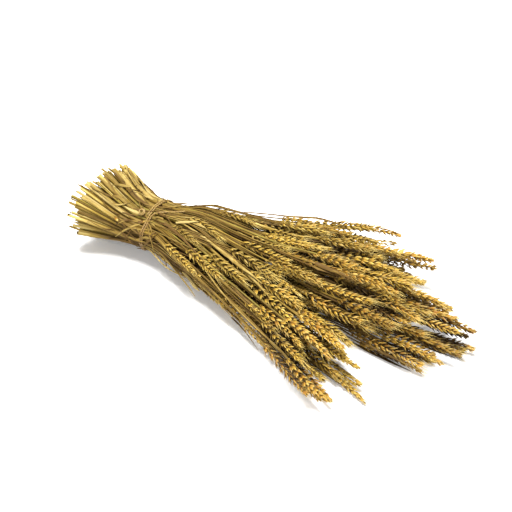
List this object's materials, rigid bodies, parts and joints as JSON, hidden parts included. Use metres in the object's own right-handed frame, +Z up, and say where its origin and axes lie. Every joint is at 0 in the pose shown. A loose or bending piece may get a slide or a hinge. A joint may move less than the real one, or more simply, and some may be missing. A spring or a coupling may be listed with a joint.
{
  "type": "bundle of dried wheat",
  "caption": "Bundle of dried wheat lying on its side: golden straws with ripe ears, fanned out both ways from a twisted straw tie near the cut ends.",
  "frame": {"origin": "bottom centre of the bundle's box, on the surface that it lies on", "axes": "+X runs along the bundle from the cut ends to the ears, +Y across it, +Z up from the surface"},
  "size_m": [0.61, 0.3134, 0.1133],
  "materials": {
    "wheat": "dry matt straw and ears",
    "tie_straw": "twisted dry straw",
    "dry_leaf": "papery dry leaf"
  },
  "bodies": {
    "root": {"inner_handful_01": "wheat", "inner_handful_02": "wheat", "inner_handful_03": "wheat", "inner_handful_04": "wheat", "inner_handful_05": "wheat", "inner_handful_06": "wheat", "inner_handful_07": "wheat", "inner_handful_08": "wheat", "inner_handful_09": "wheat", "inner_handful_10": "wheat", "inner_handful_11": "wheat", "inner_handful_12": "wheat", "inner_handful_13": "wheat", "inner_handful_14": "wheat", "leaf_far": "dry_leaf", "leaf_near": "dry_leaf", "leaf_top": "dry_leaf", "stalk_01": "wheat", "stalk_02": "wheat", "stalk_03": "wheat", "stalk_04": "wheat", "stalk_05": "wheat", "stalk_06": "wheat", "stalk_07": "wheat", "stalk_08": "wheat", "stalk_09": "wheat", "stalk_10": "wheat", "stalk_11": "wheat", "stalk_12": "wheat", "stalk_13": "wheat", "stalk_14": "wheat", "stalk_15": "wheat", "stalk_16": "wheat", "stalk_17": "wheat", "stalk_18": "wheat", "stalk_19": "wheat", "stalk_20": "wheat", "stalk_21": "wheat", "stalk_22": "wheat", "stalk_23": "wheat", "stalk_24": "wheat", "stalk_25": "wheat", "stalk_26": "wheat", "stalk_27": "wheat", "stalk_28": "wheat", "stalk_29": "wheat", "stalk_30": "wheat", "stalk_31": "wheat", "stalk_32": "wheat", "stalk_33": "wheat", "stalk_34": "wheat", "stalk_35": "wheat", "stalk_36": "wheat", "stalk_37": "wheat", "stalk_38": "wheat", "stalk_39": "wheat", "stalk_40": "wheat", "tie_curl": "tie_straw", "tie_straw": "tie_straw"}
  },
  "joints": []
}
